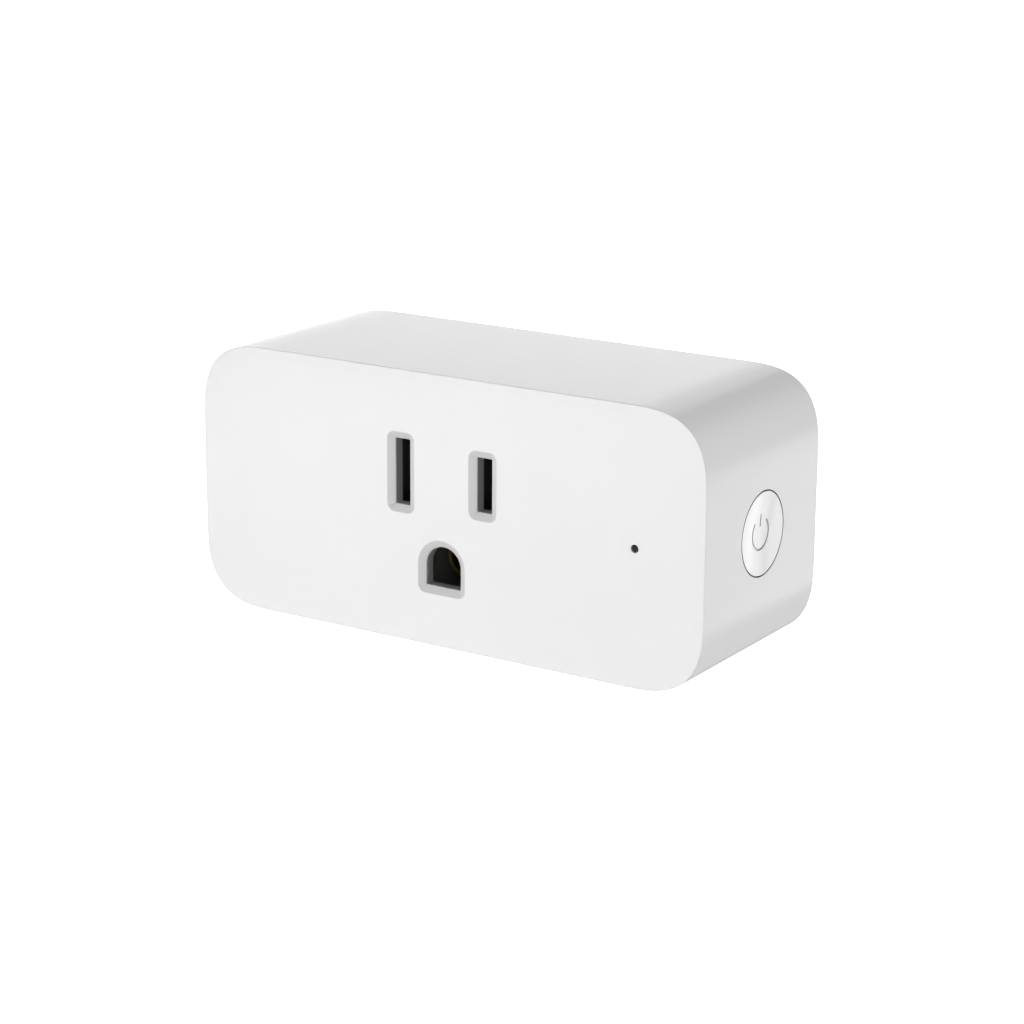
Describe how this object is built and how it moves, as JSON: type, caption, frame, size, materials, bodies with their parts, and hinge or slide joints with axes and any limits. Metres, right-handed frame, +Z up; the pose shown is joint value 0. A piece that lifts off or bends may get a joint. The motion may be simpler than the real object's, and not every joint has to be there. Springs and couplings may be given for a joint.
{
  "type": "smart plug",
  "caption": "Low rounded-box plug-in adapter: a grounded switched outlet on the front, blades and ground pin behind, a side push button and a small indicator.",
  "frame": {"origin": "centre of the rear face, in the plane that meets the wall plate", "axes": "+Y into the wall, along the blades; +X towards the button side, right as seen from the front; +Z up"},
  "size_m": [0.0776, 0.0505, 0.0364],
  "materials": {
    "shell_white": "fine satin moulded shell",
    "cover_white": "fine-textured moulded cover",
    "button_white": null,
    "insert_black": "matt black thermoset",
    "black_plastic": "satin black moulding",
    "pipe_smoke": "smoked light guide",
    "led_body": "moulded indicator package",
    "zinc_steel": "bright zinc plated",
    "plated_brass": "nickel plated",
    "contact_brass": "bare stamped brass",
    "copper": "tinned copper strip",
    "insulator": "natural moulded nylon",
    "circuit_board": "green solder mask on glass laminate",
    "radio_board": "blue solder mask on glass laminate",
    "switch_black": "matt black moulding",
    "relay_blue": "blue moulded relay case",
    "soft_iron": "plated soft iron",
    "enamelled_wire": "enamelled copper winding",
    "can_sleeve": "shrink sleeve on an aluminium can",
    "disc_coating": "dipped epoxy coating",
    "fuse_ceramic": "ceramic tube",
    "ferrite": "ground ferrite",
    "chip_epoxy": "moulded epoxy package",
    "chip_ceramic": "sintered ceramic chip",
    "gold_plate": "thin gold over copper"
  },
  "bodies": {
    "housing": {"front_shell": "shell_white", "rear_cover": "cover_white", "cover_screws": "zinc_steel", "light_pipe": "pipe_smoke", "status_led": "led_body", "socket_insert": "insert_black", "contact_cover": "black_plastic", "neutral_contact": "contact_brass", "line_contact": "contact_brass", "ground_contact": "contact_brass", "neutral_blade": "plated_brass", "line_blade": "plated_brass", "ground_pin": "plated_brass", "blade_clamp": "insulator", "clamp_screws": "zinc_steel", "neutral_busbar": "copper", "load_busbar": "copper", "line_busbar": "copper", "ground_link": "copper", "main_pcb": "circuit_board", "switch_pcb": "circuit_board", "tact_base": "switch_black", "tact_cover": "zinc_steel", "tact_dome": "zinc_steel", "tact_terminals": "zinc_steel", "relay_case": "relay_blue", "relay_base": "black_plastic", "relay_yoke": "soft_iron", "relay_core": "soft_iron", "relay_bobbin": "insulator", "relay_coil": "enamelled_wire", "relay_fixed_contact": "copper", "relay_coil_pins": "zinc_steel", "bulk_capacitor": "can_sleeve", "output_capacitor": "can_sleeve", "varistor": "disc_coating", "fuse": "fuse_ceramic", "fuse_caps": "zinc_steel", "inductor_core": "ferrite", "inductor_winding": "enamelled_wire", "rectifier": "chip_epoxy", "converter_ic": "chip_epoxy", "regulator": "chip_epoxy", "relay_driver": "chip_epoxy", "smd_resistors": "chip_epoxy", "smd_capacitors": "chip_ceramic", "wifi_pcb": "radio_board", "wifi_shield": "zinc_steel", "wifi_chips": "chip_epoxy", "wifi_antenna": "gold_plate", "wifi_header": "black_plastic", "wifi_pins": "gold_plate"},
    "button": {"power_button": "button_white"},
    "switch_plunger": {"tact_plunger": "switch_black"},
    "relay_armature": {"relay_armature": "soft_iron", "relay_contact_spring": "copper"}
  },
  "joints": [
    {"name": "button_press", "type": "slide", "parent": "housing", "child": "button", "axis": [-1, 0, 0], "range_m": [0, 0.0003], "stiffness_N_per_m": 1500},
    {"name": "switch_travel", "type": "slide", "parent": "housing", "child": "switch_plunger", "axis": [-1, 0, 0], "range_m": [0, 0.0003], "deforming": ["tact_dome"]},
    {"name": "armature_swing", "type": "hinge", "parent": "housing", "child": "relay_armature", "pos_m": [-0.0201, -0.0213, -0.0073], "axis": [-1, 0, 0], "range_deg": [0, 2.6], "stiffness_Nm_per_rad": 0.02}
  ],
  "couplings": [
    {"joint": "switch_travel", "follows": "button_press", "ratio": 1}
  ]
}
